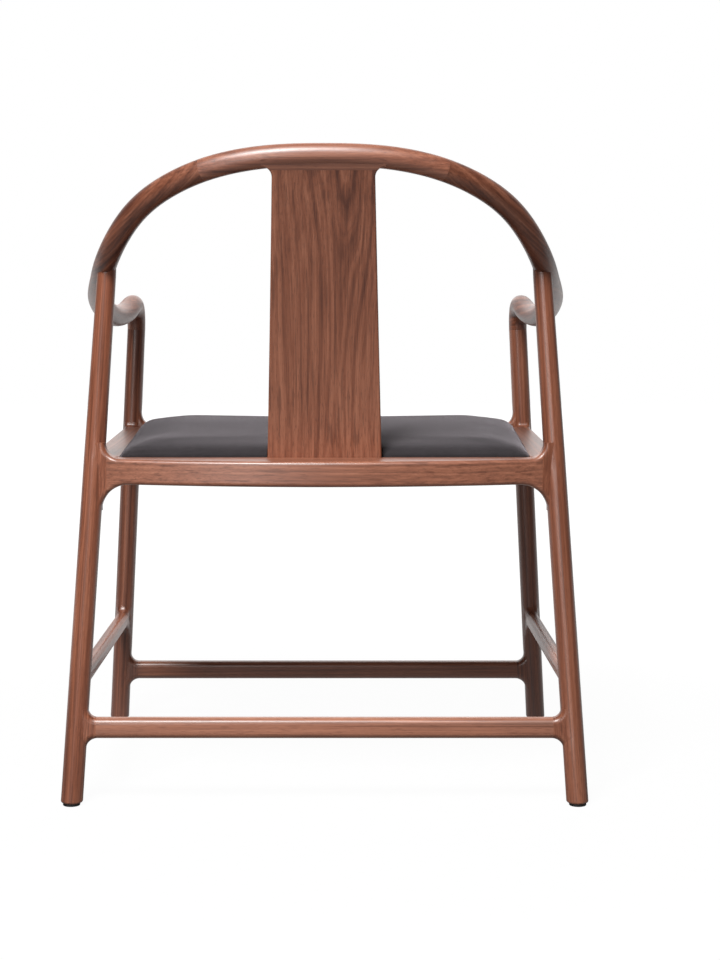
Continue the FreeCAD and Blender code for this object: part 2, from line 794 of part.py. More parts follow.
def build():
    """All pieces by name, before they are centred over the floor."""
    nodes = {}
    rear_joint = Vector(rear_joint_x, crest_plan_y(rear_joint_x), rear_joint_height)
    rear_leg = Leg(Vector(rear_foot_x, 0, 0), rear_joint - Vector(rear_head_inset, 0, 0),
                   rear_foot_radius, rear_seat_radius, rear_head_radius)
    front_leg = Leg(Vector(front_foot_x, front_foot_y, 0),
                    Vector(front_head_x, front_head_y, front_head_height),
                    front_foot_radius, front_seat_radius, front_head_radius)
    splat = SplatSide(rear_leg)
    seat = Seat(rear_leg, front_leg, splat)

    # Seat frame and stretchers, with what each leg needs to receive them
    rear_z = rail_top - rail_height / 2
    front_z = rear_z + seat_rise
    rear_rail = seat_rail(rear_leg, rear_leg.mirrored(), rear_z, rear_z,
                          rail_upper_fillet, rear_ledge, rear_rail_bow)
    side_rail = seat_rail(front_leg, rear_leg, front_z, rear_z, side_upper_fillet, side_ledge)
    front_rail = seat_rail(front_leg.mirrored(), front_leg, front_z, front_z,
                           rail_upper_fillet, front_ledge)
    rear_bar = stretcher(rear_leg, rear_leg.mirrored(), rear_stretcher_z, stretcher_height, stretcher_width)
    side_bar = stretcher(front_leg, rear_leg, side_stretcher_z, side_stretcher_height, side_stretcher_width)
    front_bar = stretcher(front_leg.mirrored(), front_leg, front_stretcher_z,
                          stretcher_height, stretcher_width)

    # Legs, each shaped on the left and mirrored
    rear_parts = [(rear_rail, 0), (side_rail, 1), (rear_bar, 0), (side_bar, 1)]
    front_parts = [(front_rail, 1), (side_rail, 0), (front_bar, 1), (side_bar, 0)]
    nails = []
    legs = {}
    for name, leg, joined in (("rear", rear_leg, rear_parts), ("front", front_leg, front_parts)):
        pad, nail = glide(leg)
        stubs = [member[1][end] for member, end in joined]
        mortises = [member[2][end] for member, end in joined]
        legs[name] = leg_body(leg, stubs, mortises, nail)
        nodes[f"foot_glide_{name}_left"] = pad
        nodes[f"foot_glide_{name}_right"] = mirror(pad)
        nails += [nail, mirror(nail)]
    nodes["glide_nails"] = Part.Compound(nails)

    # Horseshoe rail in five pieces, joined by dowels and seated on the legs
    points = rail_points(rear_joint, front_leg)
    rail = HorseshoeRail(points, front_leg)
    back_seam = crest_stations().index(back_seam_x)
    arm_seam = len(crest_stations()) + 1
    last = len(points) - 1
    shoulder = rail.piece(back_seam, arm_seam)
    arm = rail.piece(arm_seam, last)
    legs["rear"] = legs["rear"].cut(shoulder)
    rear_tenon_reach = rear_tenon_past_axis + 2 * shoulder_radius
    rear_tenon_foot = rear_leg.head - rear_leg.axis() * 2 * shoulder_radius
    rear_tenon = Part.makeCylinder(leg_tenon_radius, rear_tenon_reach, rear_tenon_foot, rear_leg.axis())
    rear_mortise = Part.makeCylinder(leg_tenon_radius + joint_gap, rear_tenon_reach + tenon_end_gap,
                                     rear_tenon_foot, rear_leg.axis())
    legs["rear"] = legs["rear"].fuse(rear_tenon)
    front_tenon = Part.makeCylinder(leg_tenon_radius, front_tenon_length, front_leg.head, front_leg.axis())
    front_mortise = Part.makeCylinder(leg_tenon_radius + joint_gap, front_tenon_length + tenon_end_gap,
                                      front_leg.head, front_leg.axis())
    legs["front"] = legs["front"].fuse(front_tenon)
    holes = {seam: rail.seam_dowels(seam, joint_gap, tenon_end_gap) for seam in (back_seam, arm_seam)}
    shoulder = shoulder.cut([rear_mortise] + holes[back_seam] + holes[arm_seam])
    arm = arm.cut([front_mortise] + holes[arm_seam])
    back_holes = holes[back_seam] + [mirror(hole) for hole in holes[back_seam]]
    crest = rail.middle(back_seam).fuse(crest_pad(splat))
    nodes["crest_back"] = crest.cut(back_holes + splat_tenons(splat, joint_gap, tenon_end_gap))
    nodes["crest_shoulder_left"] = shoulder
    nodes["crest_shoulder_right"] = mirror(shoulder)
    nodes["arm_left"] = arm
    nodes["arm_right"] = mirror(arm)
    dowels = rail.seam_dowels(back_seam) + rail.seam_dowels(arm_seam)
    nodes["crest_dowels"] = Part.Compound(dowels + [mirror(dowel) for dowel in dowels])
    for name, leg in legs.items():
        nodes[f"leg_{name}_left"] = leg
        nodes[f"leg_{name}_right"] = mirror(leg)

    # Rails with the rebate for the seat, and the blocks in their corners
    rebate = seat.placed(seat.rebate())
    rear_wood = rear_rail[0].cut([rebate] + splat_tenons(splat, joint_gap, tenon_end_gap))
    front_wood = front_rail[0].cut(rebate)
    side_wood = side_rail[0].cut([rebate, rear_rail[0], front_rail[0]])
    rear_corner = rear_leg.at(rear_z) - Vector(rail_inner + side_ledge, rail_inner + rear_ledge, 0)
    front_corner = front_leg.at(front_z) - Vector(rail_inner + side_ledge, -rail_inner - front_ledge, 0)
    blocks = {"rear": CornerBlock(seat, rear_corner, True), "front": CornerBlock(seat, front_corner, False)}
    frame_screws = []
    panel_screws = []
    for name, block in blocks.items():
        frame_tools = [seat.placed(s) for s in block.frame_screws()]
        panel_tool = seat.placed(block.panel_screw())
        pockets = [seat.placed(p) for p in block.head_pockets()]
        solid = seat.placed(block.solid()).cut([rear_rail[0], front_rail[0], side_rail[0]])
        solid = solid.cut(frame_tools + pockets + [panel_tool])
        nodes[f"corner_block_{name}_left"] = solid
        nodes[f"corner_block_{name}_right"] = mirror(solid)
        frame_screws += frame_tools + [mirror(s) for s in frame_tools]
        panel_screws += [panel_tool, mirror(panel_tool)]
    nodes["corner_block_screws"] = Part.Compound(frame_screws)
    nodes["seat_panel_screws"] = Part.Compound(panel_screws)
    nodes["seat_rail_rear"] = rear_wood.cut(frame_screws)
    nodes["seat_rail_front"] = front_wood.cut(frame_screws)
    nodes["seat_rail_left"] = side_wood.cut(frame_screws)
    nodes["seat_rail_right"] = mirror(nodes["seat_rail_left"])
    nodes["stretcher_rear"] = rear_bar[0]
    nodes["stretcher_front"] = front_bar[0]
    nodes["stretcher_left"] = side_bar[0]
    nodes["stretcher_right"] = mirror(side_bar[0])
    nodes["back_splat"] = back_splat(splat)

    # Padded seat
    staples = [seat.placed(s) for s in seat.staples()]
    nodes["seat_staples"] = Part.Compound(staples)
    nodes["seat_panel"] = seat.placed(seat.panel()).cut(staples + panel_screws)
    nodes["seat_foam"] = seat.placed(seat.foam())
    nodes["seat_cover"] = seat.placed(seat.cover()).cut(staples + panel_screws)
    nodes["seat_dust_cover"] = seat.placed(seat.dust_cover()).cut(staples + panel_screws)
    return nodes


def centred(nodes):
    """The pieces moved so that the origin is on the floor under the middle of the chair."""
    whole = Part.Compound(list(nodes.values())).optimalBoundingBox()
    shift = Vector(-whole.Center.x, -whole.Center.y, -whole.ZMin)
    for shape in nodes.values():
        shape.translate(shift)
    return shift, whole


def main():
    os.makedirs("parts", exist_ok=True)
    nodes = build()
    shift, whole = centred(nodes)
    print("size", round(whole.XLength, 2), round(whole.YLength, 2), round(whole.ZLength, 2))
    print("shift", shift)
    for name, shape in sorted(nodes.items()):
        print(name, "solids", len(shape.Solids), "valid", shape.isValid(), "volume", round(shape.Volume, 1))
        shape.exportStep(f"parts/{name}.step")


main()
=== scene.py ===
import bmesh
import bpy
import math
import numpy
from mathutils import Matrix, Vector


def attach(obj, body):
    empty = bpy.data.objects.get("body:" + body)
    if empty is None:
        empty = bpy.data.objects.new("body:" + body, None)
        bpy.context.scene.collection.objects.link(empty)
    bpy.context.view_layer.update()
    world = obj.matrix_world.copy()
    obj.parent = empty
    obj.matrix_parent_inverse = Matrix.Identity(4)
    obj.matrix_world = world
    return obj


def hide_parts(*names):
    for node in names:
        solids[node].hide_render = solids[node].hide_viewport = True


# Horseshoe chair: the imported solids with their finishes, and the soft seat made here.
# Metres, +Z up, the chair's back towards +Y and the sitter's left towards +X.

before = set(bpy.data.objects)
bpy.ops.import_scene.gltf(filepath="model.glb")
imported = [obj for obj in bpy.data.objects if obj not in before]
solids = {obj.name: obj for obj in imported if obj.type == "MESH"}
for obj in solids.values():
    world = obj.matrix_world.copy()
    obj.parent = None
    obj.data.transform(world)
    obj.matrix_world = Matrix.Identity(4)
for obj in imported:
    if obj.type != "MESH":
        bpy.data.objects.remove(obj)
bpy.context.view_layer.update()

# Camera fitted to the photograph
camera_place = Vector((-0.0224, 2.553, 0.649))
camera_pitch = math.radians(6.07)
camera_lens = 74.1
camera_shift = 0.0177

# Padded seat, drawn flat with the panel's top at zero
seat_pivot_y = 0.16188
seat_lift = 0.422
seat_rake = math.radians(-0.9834)
pad_rear_half = 0.24905
pad_front_half = 0.26104
pad_rear_y = 0.15498
pad_front_y = -0.24200
pad_rear_corner = 0.010
pad_front_corner = 0.026
panel_thickness = 0.012
cover_thickness = 0.0012
pad_profile = ((0.0000, 0.0000), (0.0008, 0.0046), (0.0034, 0.0090), (0.0085, 0.0128),
               (0.0150, 0.0153), (0.0235, 0.0171), (0.0360, 0.0182), (0.0600, 0.0189), (0.0950, 0.0193))
pad_side_draw = 0.003
pad_corner_growth = 0.35
pad_swell = 0.0015
pad_voxel = 0.0045
skirt_top = 0.003
puff_pressure = 4.0
puff_stiffness = 40.0
puff_frames = 20
puff_limit = 0.0022
smoothing_rounds = 14
splat_half_width = 0.0695
splat_front_y = 0.14798
splat_gap = 0.0012
notch_depth = 0.1
notch_height = 0.2
dust_inset = 0.030
dust_sag = 0.0025
dust_gap = 0.0003
dust_thickness = 0.0006

# Round-head screws under the seat
screw_radius = 0.002
screw_head_radius = 0.004
screw_head_height = 0.0025


class Shade:
    """A socket of a finish, with arithmetic that adds Math nodes."""

    def __init__(self, finish, socket):
        self.finish = finish
        self.socket = socket

    def also(self, name):
        """Another output of the same node."""
        return Shade(self.finish, self.socket.node.outputs[name])

    def maths(self, operation, first, second):
        return self.finish.add("ShaderNodeMath", {"operation": operation}, {0: first, 1: second})

    def __add__(self, other):
        return self.maths("ADD", self, other)

    def __radd__(self, other):
        return self.maths("ADD", other, self)

    def __sub__(self, other):
        return self.maths("SUBTRACT", self, other)

    def __rsub__(self, other):
        return self.maths("SUBTRACT", other, self)

    def __mul__(self, other):
        return self.maths("MULTIPLY", self, other)

    def __rmul__(self, other):
        return self.maths("MULTIPLY", other, self)

    def __truediv__(self, other):
        return self.maths("DIVIDE", self, other)

    def __pow__(self, other):
        return self.maths("POWER", self, other)

    def __gt__(self, other):
        return self.maths("GREATER_THAN", self, other)

    def wave(self):
        """Sine of the value, from 0 to 1."""
        return self.maths("SINE", self, 0.0) * 0.5 + 0.5

    def scaled(self, factors):
        """A vector stretched along its axes."""
        return self.finish.add("ShaderNodeVectorMath", {"operation": "MULTIPLY"}, {0: self, 1: factors})

    def between(self, low, high):
        """A soft step from 0 at low to 1 at high."""
        return self.finish.add("ShaderNodeMapRange", {"interpolation_type": "SMOOTHSTEP"},
                               {"Value": self, "From Min": low, "From Max": high})


class NodeWork:
    """Nodes added to the tree of a material, a world or a modifier."""

    def __init__(self, tree):
        self.tree = tree
        self.tree.nodes.clear()

    def add(self, kind, settings=None, values=None, output=0):
        """A node of any kind: its settings first, then the values or links of its sockets."""
        node = self.tree.nodes.new(kind)
        for key, value in (settings or {}).items():
            if key == "stops":
                set_stops(node.color_ramp, value)
            else:
                setattr(node, key, value)
        for key, value in (values or {}).items():
            if isinstance(value, Shade):
                self.tree.links.new(value.socket, node.inputs[key])
            else:
                node.inputs[key].default_value = value
        return Shade(self, node.outputs[output]) if node.outputs else None


class Finish(NodeWork):
    """A material built from nodes."""

    def __init__(self, name):
        self.material = bpy.data.materials.new(name)
        self.material.use_nodes = True
        super().__init__(self.material.node_tree)

    def place(self, turn=(0, 0, 0), shift=(0, 0, 0)):
        """Object coordinates, turned and shifted for the piece."""
        where = self.add("ShaderNodeTexCoord", output="Object")
        return self.add("ShaderNodeMapping", {}, {"Vector": where, "Rotation": turn, "Location": shift})

    def noise(self, where, scale, detail=2.0, roughness=0.5):
        return self.add("ShaderNodeTexNoise", {},
                        {"Vector": where, "Scale": scale, "Detail": detail, "Roughness": roughness})

    def ramp(self, value, stops):
        return self.add("ShaderNodeValToRGB", {"stops": stops}, {"Fac": value})

    def blend(self, mask, first, second):
        """Two colours mixed by a mask."""
        return self.add("ShaderNodeMix", {"data_type": "RGBA"}, {0: mask, 6: first, 7: second}, 2)

    def bump(self, height, strength, distance):
        return self.add("ShaderNodeBump", {},
                        {"Height": height, "Strength": strength, "Distance": distance})

    def surface(self, values):
        """Ends the material in one shader with these sockets."""
        shader = self.add("ShaderNodeBsdfPrincipled", {}, values)
        self.add("ShaderNodeOutputMaterial", {}, {"Surface": shader})
        return self.material


def set_stops(ramp, stops):
    """Positions and colours of a ramp, which starts with two stops of its own."""
    while len(ramp.elements) < len(stops):
        ramp.elements.new(1.0)
    for element, (position, colour) in zip(ramp.elements, stops):
        element.position = position
        element.color = (*colour, 1.0)


def toned(colour, tone):
    """A colour made lighter or darker."""
    return tuple(channel * tone for channel in colour)


# Wood

walnut_dark = (0.082, 0.0220, 0.0105)
walnut_middle = (0.205, 0.0660, 0.0330)
walnut_light = (0.325, 0.1240, 0.0690)
# Greyed light brown mixed in as a painted sheen, for the reflection of light on a satin face.
painted_sheen_colour = (0.420, 0.2700, 0.2000)


def walnut(name, grain, pith, seed, figure, tone, painted_sheen=0.0, dullness=0.36, mirror=0.66, painted_light_and_shade=None):
    """Oiled walnut: rings about a pith line along the grain, dark streaks, fine fibre and open pores.

    Painted light and shade, where given, is a start and an end along the grain and the shift of tone
    reached at that end, which makes the piece lighter or darker towards one end for how light falls on it.
    Painted sheen is the share of a greyed light colour mixed in for a reflection of light.
    """
    wood = Finish(name)
    turn = Vector(grain).rotation_difference(Vector((0, 0, 1))).to_euler()
    board = wood.place(turn, (0.371 * seed, 0.593 * seed, 0.817 * seed))
    local = wood.place(turn)
    drift = wood.noise(board.scaled((1, 1, 0.20)), 12.0, 2.0) - 0.5
    wander = wood.noise(board.scaled((1, 1, 0.08)), 46.0, 2.0) - 0.5
    spot = wood.add("ShaderNodeSeparateXYZ", {}, {0: local})
    across = spot + pith[0] + drift * figure + wander * 0.008
    through = spot.also("Y") + pith[1] + drift * (0.6 * figure)
    ring = (across * across + through * through) ** 0.5
    bands = wood.add("ShaderNodeTexNoise", {"noise_dimensions": "1D"},
                     {"W": ring * 190.0 + 3.7 * seed, "Scale": 1.0, "Detail": 3.0, "Roughness": 0.62})
    fibre = wood.noise(board.scaled((1, 1, 0.014)), 640.0, 3.0, 0.62)
    strand = wood.noise(board.scaled((1, 1, 0.020)), 250.0, 2.0)
    streak = wood.noise(board.scaled((1, 1, 0.016)), 330.0, 1.0).between(0.56, 0.70)
    pores = wood.noise(board.scaled((1, 1, 0.050)), 1400.0, 1.0).between(0.58, 0.68)
    patch = wood.noise(board.scaled((1, 1, 0.35)), 8.0, 1.0)
    value = bands * 0.46 + fibre * 0.28 + strand * 0.26 + (patch - 0.5) * 0.26
    # Painted light and shade: the tone shifted lighter or darker towards one end along the grain, for how
    # light falls on the piece.
    if painted_light_and_shade:
        start, end, shift = painted_light_and_shade
        value = value + spot.also("Z").between(start, end) * shift
    colour = wood.ramp(value, [(0.33, toned(walnut_dark, tone)), (0.50, toned(walnut_middle, tone)),
                               (0.67, toned(walnut_light, tone))])
    # Painted reflection: a greyed light brown mixed in, for the sheen that light leaves on the rear rail
    # and the rear stretcher.
    colour = wood.blend(painted_sheen, colour, (*painted_sheen_colour, 1.0))
    dark = (*toned(walnut_dark, 0.8 * tone), 1.0)
    colour = wood.blend(streak * 0.45, colour, dark)
    colour = wood.blend(pores * 0.40, colour, dark)
    roughness = dullness + (fibre - 0.5) * 0.10 + pores * 0.05
    height = fibre * 0.5 + bands * 0.2 - pores * 0.6 - streak * 0.3
    normal = wood.bump(height, 0.05, 0.0003)
    return wood.surface({"Base Color": colour, "Roughness": roughness, "Normal": normal,
                         "Specular IOR Level": mirror})


def plain_wood(name, colour, seed):
    """Bare softwood or plywood with faint lengthwise streaks."""
    wood = Finish(name)
    board = wood.place((0, math.radians(90), 0), (0.41 * seed, 0.23 * seed, 0.67 * seed))
    streak = wood.noise(board.scaled((1, 1, 0.04)), 190.0, 4.0, 0.6)
    cloud = wood.noise(board, 24.0, 2.0)
    value = streak * 0.7 + cloud * 0.3
    shade = wood.ramp(value, [(0.30, toned(colour, 0.62)), (0.52, colour), (0.72, toned(colour, 1.22))])
    normal = wood.bump(streak, 0.25, 0.0004)
    return wood.surface({"Base Color": shade, "Roughness": 0.62 + (streak - 0.5) * 0.2, "Normal": normal})


# Cloth, metal and plastic

def woven(name, dark, light, pitch, fuzz):
    """Plain weave laid flat on the top and upright on the sides, with a mixed yarn."""
    cloth = Finish(name)
    where = cloth.add("ShaderNodeTexCoord", output="Object")
    facing = cloth.add("ShaderNodeSeparateXYZ", {}, {0: where.also("Normal")})
    spot = cloth.add("ShaderNodeSeparateXYZ", {}, {0: where})
    upright = facing.also("Z") * facing.also("Z")
    sideways = (facing * facing) > (facing.also("Y") * facing.also("Y"))
    flat = upright > 0.42
    turns = 2 * math.pi / pitch
    along = (spot * (1 - sideways) + spot.also("Y") * sideways) * (1 - flat) + spot * flat
    up = spot.also("Z") * (1 - flat) + spot.also("Y") * flat
    warp = (along * turns).wave()
    weft = (up * turns).wave()
    over = (along * (turns / 2)).wave() > 0.5
    under = (up * (turns / 2)).wave() > 0.5
    checker = over + under - 2 * (over * under)
    thread = warp * checker + weft * (1 - checker)
    yarn = cloth.noise(where.scaled((1.0, 0.35, 1.0)), 520.0, 3.0, 0.65)
    slub = cloth.noise(where.scaled((0.3, 1.0, 1.0)), 340.0, 2.0)
    mottle = cloth.noise(where, 55.0, 3.0)
    fleck = cloth.noise(where, 300.0, 1.0).between(0.60, 0.74)
    value = thread * 0.24 + yarn * 0.30 + slub * 0.20 + mottle * 0.26 + fleck * 0.12
    colour = cloth.ramp(value, [(0.26, dark), (0.72, light)])
    normal = cloth.bump(thread * 0.7 + yarn * 0.5 + mottle * 0.6, 0.70, 0.0006)
    return cloth.surface({"Base Color": colour, "Roughness": 0.86 + (yarn - 0.5) * 0.12, "Normal": normal,
                          "Specular IOR Level": 0.25, "Sheen Weight": fuzz, "Sheen Roughness": 0.45,
                          "Sheen Tint": (1.0, 0.90, 0.97, 1.0)})


def wire_steel(name):
    """Zinc-plated steel with a faint brushed haze."""
    steel = Finish(name)
    where = steel.place()
    haze = steel.noise(where, 900.0, 3.0, 0.6)
    spots = steel.noise(where, 120.0, 2.0)
    colour = steel.ramp(haze * 0.6 + spots * 0.4, [(0.3, (0.42, 0.42, 0.43)), (0.7, (0.66, 0.66, 0.65))])
    return steel.surface({"Base Color": colour, "Metallic": 1.0, "Roughness": 0.30 + haze * 0.2})


def moulded_black(name):
    """Fine-grained black plastic."""
    plastic = Finish(name)
    where = plastic.place()
    grain = plastic.noise(where, 1600.0, 2.0)
    scuff = plastic.noise(where.scaled((1, 1, 0.3)), 140.0, 3.0)
    colour = plastic.ramp(scuff, [(0.35, (0.012, 0.012, 0.013)), (0.75, (0.035, 0.034, 0.034))])
    normal = plastic.bump(grain, 0.2, 0.0002)
    return plastic.surface({"Base Color": colour, "Roughness": 0.5 + scuff * 0.2, "Normal": normal})


def other_hand(direction):
    """A direction of the left side, mirrored to the right side."""
    return (-direction[0], *direction[1:])


def finish_solids():
    """A finish of its own for each wooden piece, along that piece's grain, and for the rest."""
    lean_rear = (-0.0451, -0.0561, 0.6552)
    lean_front = (-0.0332, 0.0265, 0.566)
    back_lean = (0.0, 0.103, 0.339)
    shoulder = (0.1335, -0.132, -0.116)
    arm = (0.0, -0.342, -0.045)
    side = (0.010, 0.43, -0.007)
    # Painted shade: the shoulders darker towards their lower ends, which turn away from the light.
    shoulder_painted_shade = (-0.49, -0.30, -0.065)
    # Painted light: the splat lighter towards its foot, which stands more upright to the light.
    splat_painted_light = (0.66, 0.47, 0.065)
    # Node, grain direction, place of the pith line, seed, waviness of the figure, tone; some tones hold
    # painted light: the rear stretcher's is raised for the light on its top, and the front legs' and the
    # shoulders' are lowered for the shade on them.
    pieces = [
        ("leg_rear_left", lean_rear, (0.33, 0.22), 1, 0.012, 1.06),
        ("leg_rear_right", other_hand(lean_rear), (0.24, 0.36), 2, 0.012, 0.92),
        ("leg_front_left", lean_front, (0.28, 0.31), 3, 0.012, 0.84),
        ("leg_front_right", other_hand(lean_front), (0.34, 0.25), 4, 0.012, 0.84),
        ("seat_rail_rear", (1, 0, 0), (0.76, -0.19), 5, 0.010, 1.10),
        ("seat_rail_front", (1, 0, 0), (0.80, 0.26), 6, 0.010, 1.0),
        ("seat_rail_left", side, (0.02, 0.38), 7, 0.010, 0.74),
        ("seat_rail_right", other_hand(side), (0.05, 0.42), 8, 0.010, 0.72),
        ("stretcher_rear", (1, 0, 0), (0.45, -0.19), 9, 0.008, 1.38),
        ("stretcher_front", (1, 0, 0), (0.42, 0.26), 10, 0.008, 0.88),
        ("stretcher_left", side, (0.05, 0.22), 11, 0.008, 1.0),
        ("stretcher_right", other_hand(side), (0.07, 0.25), 12, 0.008, 0.98),
        ("back_splat", back_lean, (0.018, -0.050), 34, 0.050, 0.97),
        ("crest_back", (1, 0, 0), (1.10, -0.22), 14, 0.014, 0.97),
        ("crest_shoulder_left", shoulder, (0.31, 0.42), 15, 0.014, 0.80),
        ("crest_shoulder_right", other_hand(shoulder), (0.35, 0.37), 16, 0.014, 0.72),
        ("arm_left", arm, (0.27, 0.55), 17, 0.012, 0.82),
        ("arm_right", arm, (0.33, 0.52), 18, 0.012, 0.80)]
    # Painted sheen on the rear rail and the rear stretcher, painted light towards the splat's foot and
    # painted shade towards the lower ends of the shoulders.
    special = {"seat_rail_rear": {"painted_sheen": 0.09}, "stretcher_rear": {"painted_sheen": 0.18},
               "crest_back": {"dullness": 0.43, "mirror": 1.0}, "back_splat": {"painted_light_and_shade": splat_painted_light},
               "crest_shoulder_left": {"painted_light_and_shade": shoulder_painted_shade},
               "crest_shoulder_right": {"painted_light_and_shade": shoulder_painted_shade}}
    for node, grain, pith, seed, figure, tone in pieces:
        extras = special.get(node, {})
        dress(node, walnut("walnut_" + node, grain, pith, seed, figure, tone, **extras))
    blocks = plain_wood("block_wood", (0.46, 0.31, 0.185), 2)
    glides = moulded_black("glide_plastic")
    for corner in ("rear_left", "rear_right", "front_left", "front_right"):
        dress("corner_block_" + corner, blocks)
        dress("foot_glide_" + corner, glides)
    dress("crest_dowels", plain_wood("dowel_wood", (0.55, 0.38, 0.22), 3))
    dress("seat_panel", plain_wood("plywood", (0.58, 0.43, 0.27), 4))
    steel = wire_steel("zinc_steel")
    dress("seat_staples", steel)
    dress("glide_nails", steel)
    round_head_screws("block_screws", "corner_block_screws", steel)
    round_head_screws("panel_screws", "seat_panel_screws", steel)


def dress(node, material):
    """Gives a CAD solid its finish."""
    slots = solids[node].data.materials
    slots.clear()
    slots.append(material)


# Screws

def screw_places(node):
    """Head end, outward direction and length of each screw in a CAD node."""
    loose = bmesh.new()
    loose.from_mesh(solids[node].data)
    bmesh.ops.remove_doubles(loose, verts=loose.verts, dist=1e-6)
    waiting = set(loose.verts)
    found = []
    while waiting:
        group = [waiting.pop()]
        for v in group:
            joined = {edge.other_vert(v) for edge in v.link_edges} & waiting
            waiting -= joined
            group.extend(joined)
        points = numpy.array([v.co for v in group])
        rows = points - (points.min(axis=0) + points.max(axis=0)) / 2
        axis = numpy.linalg.svd(rows - rows.mean(axis=0))[2][0]
        along = rows @ axis
        wide = numpy.linalg.norm(rows - numpy.outer(along, axis), axis=1)
        if along[wide.argmax()] < 0:
            axis = -axis
            along = -along
        end = points[along > along.max() - 1e-5].mean(axis=0)
        found.append((Vector(end), Vector(axis), along.max() - along.min()))
    loose.free()
    return found


def screw_tree():
    """Nodes that set a round-head screw with a cross recess on each point of a mesh."""
    tree = bpy.data.node_groups.new("round_head_screw", "GeometryNodeTree")
    sockets = {"Places": "Geometry", "Head Radius": "Float", "Head Height": "Float",
               "Shank Radius": "Float", "Shank Length": "Float", "Finish": "Material"}
    for name, kind in sockets.items():
        tree.interface.new_socket(name, in_out="INPUT", socket_type="NodeSocket" + kind)
    tree.interface.new_socket("Screws", in_out="OUTPUT", socket_type="NodeSocketGeometry")
    work = NodeWork(tree)
    given = work.add("NodeGroupInput")
    radius = given.also("Head Radius")
    height = given.also("Head Height")

    def vector(x, y, z):
        return work.add("ShaderNodeCombineXYZ", {}, {0: x, 1: y, 2: z})

    ball = work.add("GeometryNodeMeshUVSphere", {}, {"Segments": 32, "Rings": 16, "Radius": 1.0})
    dome = work.add("GeometryNodeTransform", {},
                    {"Geometry": ball, "Scale": vector(radius, radius, height),
                     "Translation": vector(0.0, 0.0, 0.0 - height)})
    slot = radius * 0.24
    reach = radius * 1.2
    depth = height * 1.1
    blades = [work.add("GeometryNodeMeshCube", {}, {"Size": size})
              for size in (vector(reach, slot, depth), vector(slot, reach, depth))]
    recessed = work.add("GeometryNodeMeshBoolean", {"operation": "DIFFERENCE"}, {"Mesh 1": dome})
    for blade in blades:
        tree.links.new(blade.socket, recessed.socket.node.inputs["Mesh 2"])
    length = given.also("Shank Length")
    rod = work.add("GeometryNodeMeshCylinder", {},
                   {"Vertices": 24, "Radius": given.also("Shank Radius"), "Depth": length})
    rod = work.add("GeometryNodeTransform", {},
                   {"Geometry": rod, "Translation": vector(0.0, 0.0, 0.0 - height - length / 2)})
    whole = work.add("GeometryNodeJoinGeometry", {}, {"Geometry": recessed})
    tree.links.new(rod.socket, whole.socket.node.inputs["Geometry"])
    axis = work.add("GeometryNodeInputNamedAttribute", {"data_type": "FLOAT_VECTOR"}, {"Name": "axis"})
    turned = work.add("FunctionNodeAlignRotationToVector", {"axis": "Z"}, {"Vector": axis})
    placed = work.add("GeometryNodeInstanceOnPoints", {},
                      {"Points": given.also("Places"), "Instance": whole, "Rotation": turned})
    real = work.add("GeometryNodeRealizeInstances", {}, {"Geometry": placed})
    dressed = work.add("GeometryNodeSetMaterial", {}, {"Geometry": real, "Material": given.also("Finish")})
    work.add("NodeGroupOutput", {}, {"Screws": dressed})
    return tree


def round_head_screws(name, node, material):
    """Screws with crowned heads and cross recesses in place of a CAD node's plain ones."""
    places = screw_places(node)
    points = bpy.data.meshes.new(name)
    points.from_pydata([end for end, axis, length in places], [], [])
    facing = points.attributes.new("axis", "FLOAT_VECTOR", "POINT")
    for entry, (end, axis, length) in zip(facing.data, places):
        entry.vector = axis
    piece = new_piece(name, points, material)
    modifier = piece.modifiers.new("screws", "NODES")
    modifier.node_group = screw_tree()
    sizes = {"Head Radius": screw_head_radius, "Head Height": screw_head_height,
             "Shank Radius": screw_radius, "Shank Length": places[0][2] - screw_head_height,
             "Finish": material}
    for socket in modifier.node_group.interface.items_tree:
        if socket.name in sizes:
            modifier[socket.identifier] = sizes[socket.name]
    settle(piece)
    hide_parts(node)
    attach(piece, "root")


# Padded seat

def rounded_outline(inset, draw, per_corner=10, per_side=24):
    """Points of the seat's outline, with sides drawn in between rounded corners."""
    rear = pad_rear_half - inset
    front = pad_front_half - inset
    back = pad_rear_y - inset
    face = pad_front_y + inset
    grow = max(inset, 0.0) * pad_corner_growth
    corners = [(rear, back, pad_rear_corner + grow), (front, face, pad_front_corner + grow),
               (-front, face, pad_front_corner + grow), (-rear, back, pad_rear_corner + grow)]
    arcs = []
    for i, (x, y, radius) in enumerate(corners):
        corner = Vector((x, y))
        first = (Vector(corners[i - 1][:2]) - corner).normalized()
        second = (Vector(corners[(i + 1) % 4][:2]) - corner).normalized()
        half = first.angle(second) / 2
        inward = (first + second).normalized()
        centre = corner + inward * (radius / math.sin(half))
        start = corner + first * (radius / math.tan(half)) - centre
        sweep = start.angle_signed(corner + second * (radius / math.tan(half)) - centre)
        turn = [Matrix.Rotation(-sweep * k / per_corner, 2) @ start + centre for k in range(per_corner + 1)]
        arcs.append(turn)
    middle = Vector((0, (pad_rear_y + pad_front_y) / 2))
    points = []
    for i, turn in enumerate(arcs):
        following = arcs[(i + 1) % 4][0]
        points += turn
        inward = middle - (turn[-1] + following) / 2
        inward = Vector((inward.x, 0)) if abs(inward.x) > abs(inward.y) else Vector((0, inward.y))
        inward.normalize()
        for k in range(1, per_side):
            share = k / per_side
            points.append(turn[-1].lerp(following, share) + inward * draw * 4 * share * (1 - share))
    return points


def on_seat(x, y, z):
    """A point of the flat seat, tilted and lifted into the chair."""
    y -= seat_pivot_y
    return Vector((x, seat_pivot_y + y * math.cos(seat_rake) - z * math.sin(seat_rake),
                   seat_lift + y * math.sin(seat_rake) + z * math.cos(seat_rake)))


